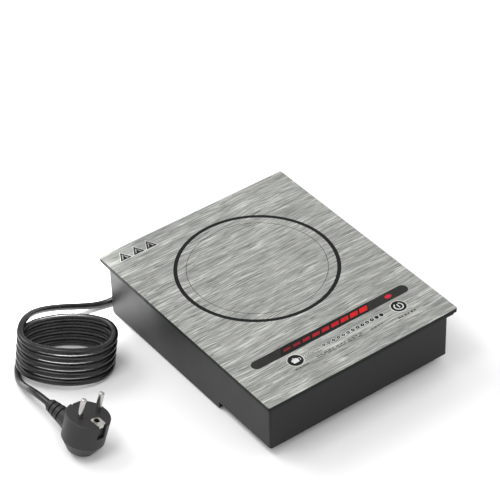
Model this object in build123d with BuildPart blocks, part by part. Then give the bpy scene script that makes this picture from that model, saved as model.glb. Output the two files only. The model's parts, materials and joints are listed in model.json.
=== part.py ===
"""Single-zone drop-in glass hob with touch controls, a coiled mains lead and an angled earthed plug.

Millimetres, +Z up. The origin is on the resting surface, under the middle of the glass plate.
The controls face -Y and the mains lead leaves the rear wall (+Y) near its left end.
"""

import math
import os

from build123d import *

os.makedirs("parts", exist_ok=True)

# ---- driving dimensions ----------------------------------------------------------------------

GLASS_X, GLASS_Y, GLASS_T = 195.0, 240.0, 4.0
GLASS_CORNER_R, GLASS_EDGE_CHAMFER = 1.5, 0.4
HEIGHT = 60.4
FOOT_H = 2.0
STEP_H = 6.5
STEP_Y = -43.6
SHELL_X, SHELL_Y, SHELL_T = 185.0, 228.0, 1.5
SHELL_CORNER_R = 2.0
FLANGE_W = 5.0
BEZEL_X, BEZEL_Y, BEZEL_T = 192.0, 237.0, 2.4
SEAL_T = 0.4
FIT_GAP = 0.2

GLASS_Z = HEIGHT - GLASS_T
SEAL_Z = GLASS_Z - SEAL_T
BEZEL_Z = SEAL_Z - BEZEL_T
DEEP_Z = FOOT_H
SHALLOW_Z = FOOT_H + STEP_H
DEEP_FLOOR = DEEP_Z + SHELL_T
SHALLOW_FLOOR = SHALLOW_Z + SHELL_T

SCREW_R, HEAD_R, HEAD_H = 1.5, 2.8, 1.8
POST_R = 3.5
POST_SPOTS = [(x, y) for x in (-81.5, 81.5) for y in (-102.0, -54.0, 102.0)]

# heating coil, under the middle of the cooking zone
ZONE_Y = 25.0
ZONE_R = 74.0
FELT_T, MICA_T, WINDING_T, FORMER_T, FERRITE_T = 2.0, 0.5, 3.5, 2.0, 4.0
MICA_Z = GLASS_Z - FELT_T - MICA_T
WINDING_Z = MICA_Z - WINDING_T
FORMER_Z = WINDING_Z - FORMER_T
FERRITE_Z = FORMER_Z - FERRITE_T
WINDING_IN_R, WINDING_OUT_R, WINDING_TURNS = 20.0, 64.0, 13
SUPPORT_SPOT_R = 70.0
SUPPORT_ANGLES = (90, 210, 330)
SUPPORT_R = 4.0

# power board, on standoffs on the deep floor
BOARD_X, BOARD_Y, BOARD_T = 78.0, 124.0, 1.6
BOARD_MID = (-45.0, 26.0)
BOARD_Z = DEEP_FLOOR + 6.0
BOARD_TOP = BOARD_Z + BOARD_T
BOARD_SCREW_SPOTS = [(x, y) for x in (-80.0, -10.0) for y in (-32.0, 84.0)]

# fan, with a vertical shaft
FAN_MID = (45.0, 35.0)
FAN_SIDE, FAN_H, FAN_PITCH = 80.0, 20.0, 71.5
FAN_Z = DEEP_FLOOR + 2.0
DUCT_R, BLADE_TIP_R, HUB_R, SHAFT_R = 38.0, 36.3, 15.0, 1.5
BLADES = 9
SHAFT_GAP = 0.05

# control board, under the front of the glass
CONTROL_MID = (0.0, -83.0)
CONTROL_X, CONTROL_Y, CONTROL_T = 155.0, 40.0, 1.6
CONTROL_TOP = BEZEL_Z - 3.0
CONTROL_SCREW_SPOTS = [(x, y) for x in (-74.0, 74.0) for y in (-98.0, -70.0)]
KEY_Y = -88.0
SLIDER_Y = -73.4

# mains lead
CORD_R = 3.0
GLAND_X, GLAND_Z = -30.0, 11.0
SLEEVE_END_X = -58.0
GLAND_RUN_Y = 121.8

# the coil of mains lead is an upright oval stack that widens and shifts a little towards its foot:
# each level is two tight end arcs joined by two flatter side arcs
COIL_MID = (-161.0, 78.8)
COIL_DIRECTION = (0.814, -0.581)
COIL_HALF_LENGTH = 40.2
COIL_TOP_HALF_WIDTH, COIL_FOOT_HALF_WIDTH = 23.9, 28.2
COIL_TOP_END_R, COIL_FOOT_END_R = 22.9, 26.0
COIL_TOP_SHIFT, COIL_FOOT_SHIFT = 2.6, -2.6
COIL_H = 44.6
COIL_SLACK = 0.4

# plug: the face centre, the line through the pins and the way the pins point
PLUG_PLANE = Plane(origin=(-199.6, -15.1, 36.4), x_dir=(0.954, 0.133, -0.270), z_dir=(0.279, -0.056, 0.959))
PLUG_R, PLUG_DEPTH = 18.6, 34.1
PIN_PITCH, PIN_R, PIN_L = 19.0, 2.4, 19.0
PLUG_AXIS_DEPTH = 19.5
RELIEF_START, RELIEF_END = 24.0, 44.0

# the lead from the gland's sleeve to the top of the coil: along the floor, then up over the coil
LEAD_ROUTE = [
    (SLEEVE_END_X, GLAND_RUN_Y, GLAND_Z),
    (-71.0, 121.8, 8.2),
    (-84.0, 122.2, 4.6),
    (-97.0, 125.2, 3.4),
    (-110.5, 128.6, 6.4),
    (-125.4, 130.2, 12.8),
    (-141.0, 129.0, 20.8),
    (-156.4, 125.2, 29.2),
    (-170.2, 118.8, 36.6),
    (-181.6, 110.6, 41.2),
]
# the tail from the foot of the coil to the plug's strain relief
TAIL_ROUTE = [
    (-198.6, 99.6, CORD_R),
    (-203.6, 90.4, CORD_R),
    (-206.9, 80.0, 5.6),
    (-209.2, 68.0, 11.4),
    (-211.0, 55.5, 18.0),
    (-211.4, 42.8, 22.2),
    (-209.97, 29.57, 21.7),
]


# ---- helpers ---------------------------------------------------------------------------------


def save(sub_part, name):
    """Labels a finished sub-part and writes it to its own file."""
    sub_part.part.label = name
    export_step(sub_part.part, f"parts/{name}.step")


def screws(spots, seat_z, length, name, head_up=True):
    """Pan-head screws: seat_z is under the head, and the shank runs away from the head."""
    way = 1 if head_up else -1
    with BuildPart() as group:
        with BuildSketch(Plane.XY.offset(seat_z)):
            with Locations(*spots):
                Circle(HEAD_R)
        extrude(amount=way * HEAD_H)
        chamfer(group.edges().filter_by(GeomType.CIRCLE).group_by(Axis.Z)[-1 if head_up else 0], 0.5)
        with BuildSketch(Plane.XY.offset(seat_z)):
            with Locations(*spots):
                Circle(SCREW_R)
        extrude(amount=-way * length)
        with BuildSketch(Plane.XY.offset(seat_z + way * HEAD_H)):
            with Locations(*spots):
                Rectangle(3.4, 0.7)
                Rectangle(0.7, 3.4)
        extrude(amount=-way * 0.8, mode=Mode.SUBTRACT)
    save(group, name)


def boxes(spots, size_x, size_y, bottom_z, height, name, edge_r=0.8):
    """Moulded blocks that stand on the board, with their upright and top edges softened."""
    with BuildPart() as group:
        with BuildSketch(Plane.XY.offset(bottom_z)):
            with Locations(*spots):
                Rectangle(size_x, size_y)
        extrude(amount=height)
        fillet(group.edges().filter_by(Axis.Z), edge_r)
        chamfer(group.faces().group_by(Axis.Z)[-1].edges(), edge_r / 2)
    save(group, name)


def arc_radii(points):
    """The radius at each inner point: 0.45 of the shorter run over the tangent of half the turn."""
    radii = []
    for before, here, after in zip(points, points[1:], points[2:]):
        run_in = Vector(*here) - Vector(*before)
        run_out = Vector(*after) - Vector(*here)
        half_turn = math.radians(run_in.get_angle(run_out)) / 2
        radii.append(0.45 * min(run_in.length, run_out.length) / math.tan(half_turn))
    return radii


def cord_tube(points, radius, name, radii=None):
    """A round cord along straight runs joined by tangent arcs."""
    radii = radii or arc_radii(points)
    with BuildPart() as tube:
        with BuildLine() as path:
            FilletPolyline(*points, radius=radii)
        with BuildSketch(Plane(origin=path.line @ 0, z_dir=path.line % 0)):
            Circle(radius)
        sweep()
    length = path.wires()[0].length
    expected = math.pi * radius**2 * length
    print(name, "radii", [round(r, 1) for r in radii], "length", round(length, 1))
    print(name, "volume", round(tube.part.volume, 1), "section times length", round(expected, 1))
    save(tube, name)


# ---- glass, flange and housing ---------------------------------------------------------------

with BuildPart() as glass_top:
    with BuildSketch(Plane.XY.offset(GLASS_Z)):
        RectangleRounded(GLASS_X, GLASS_Y, GLASS_CORNER_R)
    extrude(amount=GLASS_T)
    chamfer(glass_top.faces().sort_by(Axis.Z)[-1].edges(), GLASS_EDGE_CHAMFER)
save(glass_top, "glass_top")

with BuildPart() as glass_seal:
    with BuildSketch(Plane.XY.offset(SEAL_Z)):
        RectangleRounded(BEZEL_X - 2, BEZEL_Y - 2, 2)
        RectangleRounded(BEZEL_X - 12, BEZEL_Y - 12, 2, mode=Mode.SUBTRACT)
    extrude(amount=SEAL_T)
save(glass_seal, "glass_seal")

with BuildPart() as bezel_frame:
    with BuildSketch(Plane.XY.offset(BEZEL_Z)):
        RectangleRounded(BEZEL_X, BEZEL_Y, 2)
        with Locations((0, ZONE_Y)):
            Circle(ZONE_R + 2, mode=Mode.SUBTRACT)
        with Locations((CONTROL_MID[0], CONTROL_MID[1] - 1)):
            RectangleRounded(140, 40, 3, mode=Mode.SUBTRACT)
    extrude(amount=BEZEL_T)
    # screw posts, down to the two levels of the bottom cover
    for post_x, post_y in POST_SPOTS:
        floor_z = DEEP_FLOOR if post_y > STEP_Y else SHALLOW_FLOOR
        with BuildSketch(Plane.XY.offset(floor_z)):
            with Locations((post_x, post_y)):
                Circle(POST_R)
        extrude(amount=BEZEL_Z - floor_z)
        with BuildSketch(Plane.XY.offset(floor_z)):
            with Locations((post_x, post_y)):
                Circle(SCREW_R + 0.02)
        extrude(amount=12, mode=Mode.SUBTRACT)
    # bosses for the control board
    with BuildSketch(Plane.XY.offset(CONTROL_TOP)):
        with Locations(*CONTROL_SCREW_SPOTS):
            Circle(3.0)
            Circle(SCREW_R + 0.02, mode=Mode.SUBTRACT)
    extrude(amount=BEZEL_Z - CONTROL_TOP)
save(bezel_frame, "bezel_frame")

VENT_SLOT = (2.6, 24.0)
VENT_PITCH = 6.0
BACK_VENT_XS = [6.0 + VENT_PITCH * i for i in range(13)]
SIDE_VENT_YS = [-6.0 + VENT_PITCH * i for i in range(15)]
VENT_MID_Z = 30.0

with BuildPart() as housing_shell:
    with BuildSketch(Plane.XY.offset(DEEP_Z)):
        RectangleRounded(SHELL_X, SHELL_Y, SHELL_CORNER_R)
        RectangleRounded(SHELL_X - 2 * SHELL_T, SHELL_Y - 2 * SHELL_T, 0.6, mode=Mode.SUBTRACT)
    extrude(amount=BEZEL_Z - DEEP_Z)
    # the front third stands higher
    with BuildSketch(Plane.XY.offset(DEEP_Z)):
        with Locations((0, (STEP_Y - SHELL_Y / 2) / 2)):
            Rectangle(SHELL_X + 2, STEP_Y + SHELL_Y / 2)
    extrude(amount=STEP_H, mode=Mode.SUBTRACT)
    # top flange, turned in under the bezel
    with BuildSketch(Plane.XY.offset(BEZEL_Z - SHELL_T)):
        RectangleRounded(SHELL_X - SHELL_T, SHELL_Y - SHELL_T, 1.5)
        flange_opening = 2 * (SHELL_T + FLANGE_W)
        Rectangle(SHELL_X - flange_opening, SHELL_Y - flange_opening, mode=Mode.SUBTRACT)
    extrude(amount=SHELL_T)
    # air outlets in the rear and right walls
    with BuildSketch(Plane.XZ.offset(-SHELL_Y / 2 - 1)):
        with Locations(*[(x, VENT_MID_Z) for x in BACK_VENT_XS]):
            SlotOverall(VENT_SLOT[1], VENT_SLOT[0], rotation=90)
    extrude(amount=SHELL_T + 2, mode=Mode.SUBTRACT)
    with BuildSketch(Plane.YZ.offset(SHELL_X / 2 + 1)):
        with Locations(*[(y, VENT_MID_Z) for y in SIDE_VENT_YS]):
            SlotOverall(VENT_SLOT[1], VENT_SLOT[0], rotation=90)
    extrude(amount=-SHELL_T - 2, mode=Mode.SUBTRACT)
    # hole for the cord gland, and one for the earth screw
    with BuildSketch(Plane.XZ.offset(-SHELL_Y / 2 - 1)):
        with Locations((GLAND_X, GLAND_Z)):
            Circle(5.6)
    extrude(amount=SHELL_T + 2, mode=Mode.SUBTRACT)
save(housing_shell, "housing_shell")

COVER_X = SHELL_X - 2 * SHELL_T - 2 * FIT_GAP
COVER_Y = SHELL_Y - 2 * SHELL_T - 2 * FIT_GAP
GRILLE_R, GRILLE_PITCH, GRILLE_W = 35.0, 6.4, 3.2
LIP_H, LIP_T = 5.0, 1.2

with BuildPart() as bottom_cover:
    # stepped sheet, drawn from the side
    with BuildSketch(Plane.YZ.offset(-COVER_X / 2)):
        with BuildLine():
            Polyline(
                (-COVER_Y / 2, SHALLOW_Z),
                (STEP_Y, SHALLOW_Z),
                (STEP_Y, DEEP_Z),
                (COVER_Y / 2, DEEP_Z),
                (COVER_Y / 2, DEEP_FLOOR),
                (STEP_Y + SHELL_T, DEEP_FLOOR),
                (STEP_Y + SHELL_T, SHALLOW_FLOOR),
                (-COVER_Y / 2, SHALLOW_FLOOR),
                close=True,
            )
        make_face()
    extrude(amount=COVER_X)
    # lips inside the walls
    with BuildSketch(Plane.XY.offset(SHALLOW_FLOOR)):
        Rectangle(COVER_X, COVER_Y)
        Rectangle(COVER_X - 2 * LIP_T, COVER_Y - 2 * LIP_T, mode=Mode.SUBTRACT)
        with Locations((GLAND_X, COVER_Y / 2)):
            Rectangle(16, 8, mode=Mode.SUBTRACT)
    extrude(amount=LIP_H)
    with BuildSketch(Plane.XY.offset(DEEP_FLOOR)):
        with Locations((0, (STEP_Y + COVER_Y / 2) / 2)):
            Rectangle(COVER_X, COVER_Y / 2 - STEP_Y)
            Rectangle(COVER_X - 2 * LIP_T, COVER_Y / 2 - STEP_Y - 2 * LIP_T, mode=Mode.SUBTRACT)
        with Locations((GLAND_X, COVER_Y / 2)):
            Rectangle(16, 8, mode=Mode.SUBTRACT)
    extrude(amount=SHALLOW_FLOOR - DEEP_FLOOR)
    # standoffs for the board, the fan and the cord clamp
    with BuildSketch(Plane.XY.offset(DEEP_FLOOR)):
        with Locations(*BOARD_SCREW_SPOTS):
            Circle(3.5)
            Circle(SCREW_R + 0.02, mode=Mode.SUBTRACT)
    extrude(amount=BOARD_Z - DEEP_FLOOR)
    with BuildSketch(Plane.XY.offset(DEEP_FLOOR)):
        with Locations(FAN_MID):
            with GridLocations(FAN_PITCH, FAN_PITCH, 2, 2):
                Circle(4.0)
                Circle(SCREW_R + 0.02, mode=Mode.SUBTRACT)
    extrude(amount=FAN_Z - DEEP_FLOOR)
    with BuildSketch(Plane.XY.offset(DEEP_FLOOR)):
        with Locations((GLAND_X - 10, 97), (GLAND_X + 10, 97)):
            Circle(3.5)
            Circle(SCREW_R + 0.02, mode=Mode.SUBTRACT)
    extrude(amount=GLAND_Z - DEEP_FLOOR)
    with BuildSketch(Plane.XY.offset(DEEP_FLOOR)):
        with Locations((GLAND_X, 97)):
            Rectangle(10, 6)
    extrude(amount=GLAND_Z - CORD_R - DEEP_FLOOR)
    # fan intake grille: parallel slots inside a circle
    rows = int(GRILLE_R // GRILLE_PITCH)
    with BuildSketch(Plane.XY.offset(DEEP_Z)):
        for row in range(-rows, rows + 1):
            chord = 2 * math.sqrt(GRILLE_R**2 - (row * GRILLE_PITCH) ** 2)
            with Locations((FAN_MID[0], FAN_MID[1] + row * GRILLE_PITCH)):
                SlotOverall(chord, GRILLE_W)
    extrude(amount=SHELL_T, mode=Mode.SUBTRACT)
    # air slots under the control board
    with BuildSketch(Plane.XY.offset(SHALLOW_Z)):
        with Locations((0, -78)):
            with GridLocations(8, 1, 15, 1):
                SlotOverall(26, 3, rotation=90)
    extrude(amount=SHELL_T, mode=Mode.SUBTRACT)
    # clearance holes for the cover screws
    for post_x, post_y in POST_SPOTS:
        outer_z = DEEP_Z if post_y > STEP_Y else SHALLOW_Z
        with BuildSketch(Plane.XY.offset(outer_z)):
            with Locations((post_x, post_y)):
                Circle(SCREW_R + 0.2)
        extrude(amount=SHELL_T, mode=Mode.SUBTRACT)
save(bottom_cover, "bottom_cover")

with BuildPart() as cover_screws:
    for post_x, post_y in POST_SPOTS:
        outer_z = DEEP_Z if post_y > STEP_Y else SHALLOW_Z
        with BuildSketch(Plane.XY.offset(outer_z)):
            with Locations((post_x, post_y)):
                Circle(HEAD_R)
        extrude(amount=-1.4)
        with BuildSketch(Plane.XY.offset(outer_z)):
            with Locations((post_x, post_y)):
                Circle(SCREW_R)
        extrude(amount=11)
        with BuildSketch(Plane.XY.offset(outer_z - 1.4)):
            with Locations((post_x, post_y)):
                Rectangle(3.4, 0.7)
                Rectangle(0.7, 3.4)
        extrude(amount=0.7, mode=Mode.SUBTRACT)
save(cover_screws, "cover_screws")


def feet(spots, radius, height, name):
    """Round rubber feet, a little wider where they meet the cover."""
    with BuildPart() as group:
        with BuildSketch(Plane.XY):
            with Locations(*spots):
                Circle(radius - 0.4)
        with BuildSketch(Plane.XY.offset(height)):
            with Locations(*spots):
                Circle(radius)
        loft_pairs = len(spots)
        faces_low = group.pending_faces[:loft_pairs]
        faces_high = group.pending_faces[loft_pairs:]
        group.pending_faces.clear()
        for low, high in zip(faces_low, faces_high):
            loft(sections=[low, high])
    save(group, name)


feet([(-70.0, 98.0), (70.0, 98.0), (-78.0, -32.0), (78.0, -32.0)], 8.0, DEEP_Z, "rear_feet")
feet([(-74.0, -94.0), (74.0, -94.0)], 6.5, SHALLOW_Z, "front_feet")

# ---- heating coil ----------------------------------------------------------------------------

with BuildPart() as insulation_felt:
    with BuildSketch(Plane.XY.offset(GLASS_Z - FELT_T)):
        with Locations((0, ZONE_Y)):
            Circle(ZONE_R)
            Circle(12, mode=Mode.SUBTRACT)
    extrude(amount=FELT_T)
save(insulation_felt, "insulation_felt")

with BuildPart() as mica_sheet:
    with BuildSketch(Plane.XY.offset(MICA_Z)):
        with Locations((0, ZONE_Y)):
            Circle(ZONE_R)
            Circle(12, mode=Mode.SUBTRACT)
    extrude(amount=MICA_T)
save(mica_sheet, "mica_sheet")

turn_pitch = (WINDING_OUT_R - WINDING_IN_R) / WINDING_TURNS
with BuildPart() as induction_coil:
    with BuildSketch(Plane(origin=(0, ZONE_Y, WINDING_Z), x_dir=(1, 0, 0), z_dir=(0, -1, 0))):
        with Locations(((WINDING_IN_R + WINDING_OUT_R) / 2, WINDING_T / 4)):
            Rectangle(WINDING_OUT_R - WINDING_IN_R - turn_pitch, WINDING_T / 2)
        for turn in range(WINDING_TURNS):
            with Locations((WINDING_IN_R + (turn + 0.5) * turn_pitch, WINDING_T / 2)):
                Circle(WINDING_T / 2)
    revolve(axis=Axis((0, ZONE_Y, 0), (0, 0, 1)))
save(induction_coil, "induction_coil")

support_spots = [
    (SUPPORT_SPOT_R * math.cos(math.radians(a)), ZONE_Y + SUPPORT_SPOT_R * math.sin(math.radians(a)))
    for a in SUPPORT_ANGLES
]
with BuildPart() as coil_former:
    with BuildSketch(Plane.XY.offset(FORMER_Z)):
        with Locations((0, ZONE_Y)):
            Circle(ZONE_R)
            Circle(10.5, mode=Mode.SUBTRACT)
            with PolarLocations(40, 8):
                RectangleRounded(34, 14, 3, mode=Mode.SUBTRACT)
        with Locations(*support_spots):
            Circle(SCREW_R + 0.2, mode=Mode.SUBTRACT)
    extrude(amount=FORMER_T)
save(coil_former, "coil_former")

with BuildPart() as ferrite_bars:
    with BuildSketch(Plane.XY.offset(FERRITE_Z)):
        with Locations((0, ZONE_Y)):
            with PolarLocations(42, 8, start_angle=22.5):
                Rectangle(40, 10)
    extrude(amount=FERRITE_T)
    chamfer(ferrite_bars.faces().group_by(Axis.Z)[0].edges(), 0.6)
save(ferrite_bars, "ferrite_bars")

with BuildPart() as thermal_sensor:
    with BuildSketch(Plane.XY.offset(FERRITE_Z)):
        with Locations((0, ZONE_Y)):
            Circle(8.5)
    extrude(amount=FORMER_Z - FERRITE_Z + FORMER_T)
    with BuildSketch(Plane.XY.offset(WINDING_Z)):
        with Locations((0, ZONE_Y)):
            Circle(6.5)
    extrude(amount=4)
    with BuildSketch(Plane.XY.offset(WINDING_Z + 4)):
        with Locations((0, ZONE_Y)):
            Circle(4.5)
    extrude(amount=GLASS_Z - WINDING_Z - 4)
    chamfer(thermal_sensor.edges().filter_by(GeomType.CIRCLE).group_by(Axis.Z)[-1], 0.5)
save(thermal_sensor, "thermal_sensor")

with BuildPart() as coil_supports:
    with BuildSketch(Plane.XY.offset(DEEP_FLOOR)):
        with Locations(*support_spots):
            Circle(SUPPORT_R)
            Circle(SCREW_R + 0.02, mode=Mode.SUBTRACT)
    extrude(amount=FORMER_Z - DEEP_FLOOR)
save(coil_supports, "coil_supports")
screws(support_spots, WINDING_Z, 12, "coil_screws")

# ---- power board -----------------------------------------------------------------------------

with BuildPart() as main_board:
    with BuildSketch(Plane.XY.offset(BOARD_Z)):
        with Locations(BOARD_MID):
            RectangleRounded(BOARD_X, BOARD_Y, 1)
        with Locations(support_spots[1]):
            Circle(SUPPORT_R + 1, mode=Mode.SUBTRACT)
        with Locations(*BOARD_SCREW_SPOTS):
            Circle(SCREW_R + 0.2, mode=Mode.SUBTRACT)
    extrude(amount=BOARD_T)
save(main_board, "main_board")
screws(BOARD_SCREW_SPOTS, BOARD_TOP, 6.5, "board_screws")

SINK_MID = (-26.0, 38.0)
SINK_X, SINK_Y, SINK_BASE, SINK_FIN_H, SINK_FIN_T, SINK_FINS = 30.0, 60.0, 3.5, 20.0, 1.4, 7
CHIP_H = 5.0
TRANSISTOR_Y, RECTIFIER_Y = 22.0, 54.0
with BuildPart() as heatsink:
    with BuildSketch(Plane.XY.offset(BOARD_TOP + CHIP_H)):
        with Locations(SINK_MID):
            Rectangle(SINK_X, SINK_Y)
    extrude(amount=SINK_BASE)
    with BuildSketch(Plane.XY.offset(BOARD_TOP + CHIP_H + SINK_BASE)):
        with Locations(SINK_MID):
            with GridLocations((SINK_X - SINK_FIN_T) / (SINK_FINS - 1), 1, SINK_FINS, 1):
                Rectangle(SINK_FIN_T, SINK_Y)
    extrude(amount=SINK_FIN_H)
    # the two screws go down between the fins, where the middle fin is cut away
    with BuildSketch(Plane.XY.offset(BOARD_TOP + CHIP_H + SINK_BASE)):
        with Locations((SINK_MID[0], TRANSISTOR_Y), (SINK_MID[0], RECTIFIER_Y)):
            Circle(HEAD_R + 0.4)
    extrude(amount=SINK_FIN_H, mode=Mode.SUBTRACT)
    with BuildSketch(Plane.XY.offset(BOARD_TOP + CHIP_H)):
        with Locations((SINK_MID[0], TRANSISTOR_Y), (SINK_MID[0], RECTIFIER_Y)):
            Circle(SCREW_R + 0.1)
    extrude(amount=SINK_BASE, mode=Mode.SUBTRACT)
save(heatsink, "heatsink")


def power_chip(mid_y, size_x, size_y, leads, name):
    """A flat moulded package under the heatsink, with its leads bent down to the board."""
    with BuildPart() as chip:
        with BuildSketch(Plane.XY.offset(BOARD_TOP + 0.1)):
            with Locations((SINK_MID[0], mid_y)):
                RectangleRounded(size_x, size_y, 0.8)
                Circle(SCREW_R + 0.1, mode=Mode.SUBTRACT)
        extrude(amount=CHIP_H - 0.1)
        with BuildSketch(Plane.XY.offset(BOARD_TOP)):
            with Locations((SINK_MID[0], mid_y - size_y / 2 - 1.8)):
                with GridLocations(5.0, 1, leads, 1):
                    Rectangle(1.3, 3.8)
        extrude(amount=1.6)
    save(chip, name)


power_chip(TRANSISTOR_Y, 16, 20, 3, "power_transistor")
power_chip(RECTIFIER_Y, 22, 20, 4, "bridge_rectifier")
screws(
    [(SINK_MID[0], TRANSISTOR_Y), (SINK_MID[0], RECTIFIER_Y)],
    BOARD_TOP + CHIP_H + SINK_BASE,
    SINK_BASE + CHIP_H - 0.5,
    "heatsink_screws",
)

boxes([(-66.0, 66.0)], 30, 16, BOARD_TOP, 26, "resonant_capacitor")
boxes([(-66.0, 45.0)], 30, 14, BOARD_TOP, 22, "filter_capacitor")
boxes([(-66.0, 32.0)], 26, 9, BOARD_TOP, 17, "suppression_capacitor")

with BuildPart() as storage_capacitors:
    with BuildSketch(Plane.XY.offset(BOARD_TOP)):
        with Locations((-42, -5), (-29, -5)):
            Circle(5)
    extrude(amount=16)
    fillet(storage_capacitors.edges().filter_by(GeomType.CIRCLE).group_by(Axis.Z)[-1], 0.7)
    with BuildSketch(Plane.XY.offset(BOARD_TOP + 16)):
        with Locations((-42, -5), (-29, -5)):
            Rectangle(6, 0.5)
            Rectangle(0.5, 6)
    extrude(amount=-0.4, mode=Mode.SUBTRACT)
save(storage_capacitors, "storage_capacitors")

CHOKE_MID = (-66.0, 12.0)
CHOKE_R, CHOKE_CORE_R, CHOKE_WIRE_R = 8.6, 3.0, 4.4
choke_plane = Plane(
    origin=(CHOKE_MID[0], CHOKE_MID[1], BOARD_TOP + CHOKE_WIRE_R), x_dir=(1, 0, 0), z_dir=(0, -1, 0)
)
choke_axis = Axis((CHOKE_MID[0], CHOKE_MID[1], 0), (0, 0, 1))
with BuildPart() as choke_core:
    with BuildSketch(choke_plane):
        with Locations((CHOKE_R, 0)):
            Circle(CHOKE_CORE_R)
    revolve(axis=choke_axis)
save(choke_core, "choke_core")

with BuildPart() as choke_winding:
    for start in (20, 200):
        turn = math.radians(start)
        outward = (math.cos(turn), math.sin(turn), 0)
        sideways = (math.sin(turn), -math.cos(turn), 0)
        with BuildSketch(Plane(origin=choke_plane.origin, x_dir=outward, z_dir=sideways)):
            with Locations((CHOKE_R, 0)):
                Circle(CHOKE_WIRE_R)
                Circle(CHOKE_CORE_R + 0.01, mode=Mode.SUBTRACT)
        revolve(axis=choke_axis, revolution_arc=140)
save(choke_winding, "choke_winding")

boxes([(-42.0, -24.0)], 16, 14, BOARD_TOP, 15, "aux_transformer", 0.6)

with BuildPart() as mains_fuse:
    with BuildSketch(Plane.YZ.offset(-74)):
        with Locations((81, BOARD_TOP + 4)):
            Circle(2.6)
    extrude(amount=20)
    for clip_x in (-74, -58):
        with BuildSketch(Plane.XY.offset(BOARD_TOP)):
            with Locations((clip_x + 2, 81)):
                Rectangle(4, 6.4)
        extrude(amount=4)
save(mains_fuse, "mains_fuse")

with BuildPart() as varistor:
    with BuildSketch(Plane.YZ.offset(-48)):
        with Locations((66, BOARD_TOP + 7)):
            Circle(6.5)
    extrude(amount=4)
    fillet(varistor.edges().filter_by(GeomType.CIRCLE), 1.2)
    with BuildSketch(Plane.XY.offset(BOARD_TOP)):
        with Locations((-46, 63), (-46, 69)):
            Circle(0.5)
    extrude(amount=3)
save(varistor, "varistor")

with BuildPart() as buzzer:
    with BuildSketch(Plane.XY.offset(BOARD_TOP)):
        with Locations((-24, -25)):
            Circle(6)
    extrude(amount=7.5)
    chamfer(buzzer.edges().filter_by(GeomType.CIRCLE).group_by(Axis.Z)[-1], 0.6)
    with BuildSketch(Plane.XY.offset(BOARD_TOP + 7.5)):
        with Locations((-24, -25)):
            Circle(1.2)
    extrude(amount=-3, mode=Mode.SUBTRACT)
save(buzzer, "buzzer")

TERMINAL_MID = (-30.0, 79.0)
TERMINAL_PITCH = 8.0
with BuildPart() as terminal_block:
    with BuildSketch(Plane.XY.offset(BOARD_TOP)):
        with Locations(TERMINAL_MID):
            Rectangle(2 * TERMINAL_PITCH, 10)
    extrude(amount=13)
    chamfer(terminal_block.faces().group_by(Axis.Z)[-1].edges(), 1.0)
    with BuildSketch(Plane.XY.offset(BOARD_TOP + 13)):
        with Locations(TERMINAL_MID):
            with GridLocations(TERMINAL_PITCH, 1, 2, 1):
                Circle(2.4)
    extrude(amount=-3, mode=Mode.SUBTRACT)
save(terminal_block, "terminal_block")

TERMINAL_STUDS = [(-12.0, -18.0), (-12.0, -6.0)]
STUD_TOP = BOARD_TOP + 9.0
with BuildPart() as coil_terminals:
    with BuildSketch(Plane.XY.offset(BOARD_TOP)):
        with Locations(*TERMINAL_STUDS):
            RegularPolygon(4.0, 6)
    extrude(amount=7)
    with BuildSketch(Plane.XY.offset(BOARD_TOP + 7)):
        with Locations(*TERMINAL_STUDS):
            Circle(3.2)
    extrude(amount=2)
save(coil_terminals, "coil_terminals")

with BuildPart() as coil_leads:
    for foot, top in zip(TERMINAL_STUDS, [(-14.0, -34.0), (-3.0, -30.0)]):
        route = [(*foot, STUD_TOP), (*foot, STUD_TOP + 9), (*top, FORMER_Z - 12), (*top, FORMER_Z)]
        with BuildLine() as lead_path:
            FilletPolyline(*route, radius=5)
        with BuildSketch(Plane(origin=lead_path.line @ 0, z_dir=lead_path.line % 0)):
            Circle(1.6)
        sweep()
save(coil_leads, "coil_leads")

# ---- fan -------------------------------------------------------------------------------------

fan_corners = [
    (FAN_MID[0] + sx * FAN_PITCH / 2, FAN_MID[1] + sy * FAN_PITCH / 2) for sx in (-1, 1) for sy in (-1, 1)
]
STRUT_T = 2.0
BEARING_R = 4.0
with BuildPart() as fan_frame:
    with BuildSketch(Plane.XY.offset(FAN_Z)):
        with Locations(FAN_MID):
            RectangleRounded(FAN_SIDE, FAN_SIDE, 4)
            Circle(DUCT_R, mode=Mode.SUBTRACT)
        with Locations(*fan_corners):
            Circle(SCREW_R + 0.3, mode=Mode.SUBTRACT)
    extrude(amount=FAN_H)
    with BuildSketch(Plane.XY.offset(FAN_Z)):
        with Locations(FAN_MID):
            Circle(HUB_R)
            with PolarLocations((DUCT_R + HUB_R) / 2, 4, start_angle=45):
                Rectangle(DUCT_R - HUB_R + 3, 4)
    extrude(amount=STRUT_T)
    with BuildSketch(Plane.XY.offset(FAN_Z + STRUT_T)):
        with Locations(FAN_MID):
            Circle(BEARING_R)
    extrude(amount=12)
    with BuildSketch(Plane.XY.offset(FAN_Z + 0.5)):
        with Locations(FAN_MID):
            Circle(SHAFT_R + SHAFT_GAP)
    extrude(amount=STRUT_T + 12, mode=Mode.SUBTRACT)
save(fan_frame, "fan_frame")

with BuildPart() as fan_stator:
    with BuildSketch(Plane.XY.offset(FAN_Z + STRUT_T + 1)):
        with Locations(FAN_MID):
            Circle(BEARING_R + 2.5)
            with PolarLocations(8, 4):
                Rectangle(7, 6)
            with PolarLocations(11, 4):
                Rectangle(2, 10)
            Circle(BEARING_R + 0.02, mode=Mode.SUBTRACT)
    extrude(amount=8)
save(fan_stator, "fan_stator")

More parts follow.
